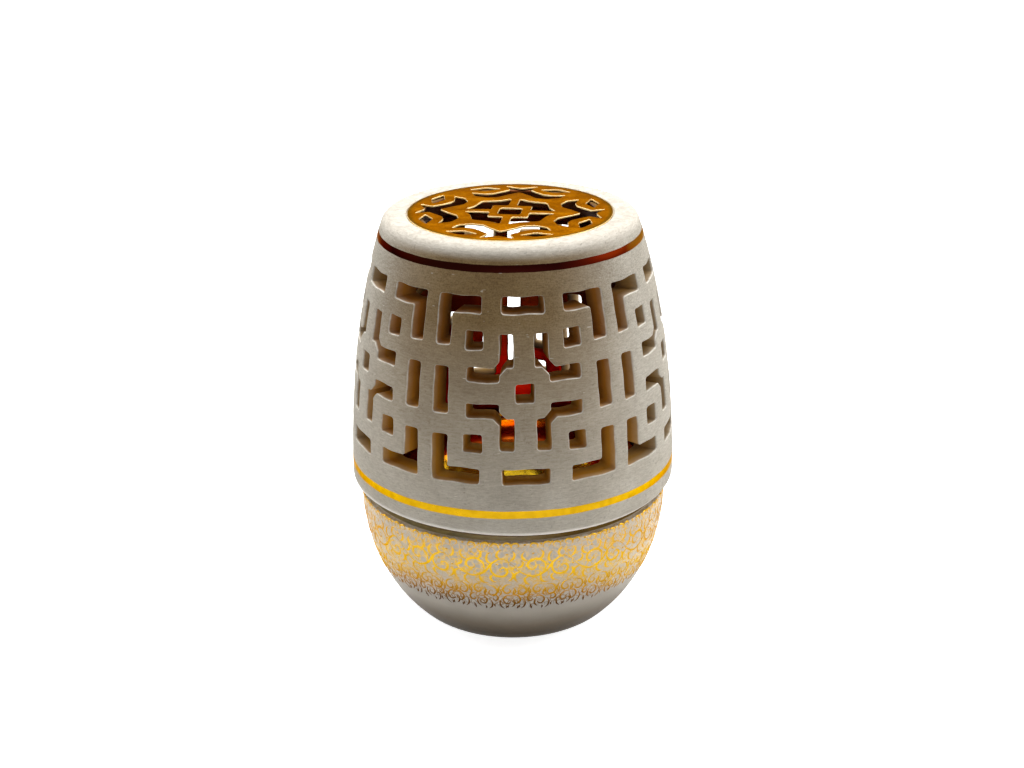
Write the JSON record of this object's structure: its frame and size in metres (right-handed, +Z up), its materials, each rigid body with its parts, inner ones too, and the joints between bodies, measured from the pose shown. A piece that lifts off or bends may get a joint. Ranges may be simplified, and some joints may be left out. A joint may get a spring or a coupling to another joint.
{
  "type": "incense burner",
  "caption": "Egg-shaped ceramic incense burner: glazed bowl, hanging charcoal dish, lift-off cover pierced with a fret lattice, and a pierced metal grille in its crown.",
  "frame": {"origin": "middle of the foot ring's underside, on the table", "axes": "+Z up along the axis of the turned pieces, -Y towards the front"},
  "size_m": [0.1098, 0.11, 0.1443],
  "materials": {
    "glazed_ceramic": "gloss glaze, off-white, with a gold ornament band",
    "matte_ceramic": "matte, off-white, with two painted gold lines",
    "polished_gold_metal": "polished, gold-coloured",
    "satin_gold_metal": "satin, gold-coloured"
  },
  "bodies": {
    "bowl": {"bowl": "glazed_ceramic"},
    "charcoal_dish": {"charcoal_dish": "polished_gold_metal"},
    "cover": {"pierced_cover": "matte_ceramic"},
    "grille": {"grille": "satin_gold_metal"}
  },
  "joints": [
    {"name": "cover_lift", "type": "slide", "parent": "bowl", "child": "cover", "axis": [0, 0, 1], "range_m": [0, 0.12]},
    {"name": "dish_lift", "type": "slide", "parent": "bowl", "child": "charcoal_dish", "axis": [0, 0, 1], "range_m": [0, 0.034]},
    {"name": "grille_lift", "type": "slide", "parent": "cover", "child": "grille", "axis": [0, 0, 1], "range_m": [0, 0.03]}
  ]
}
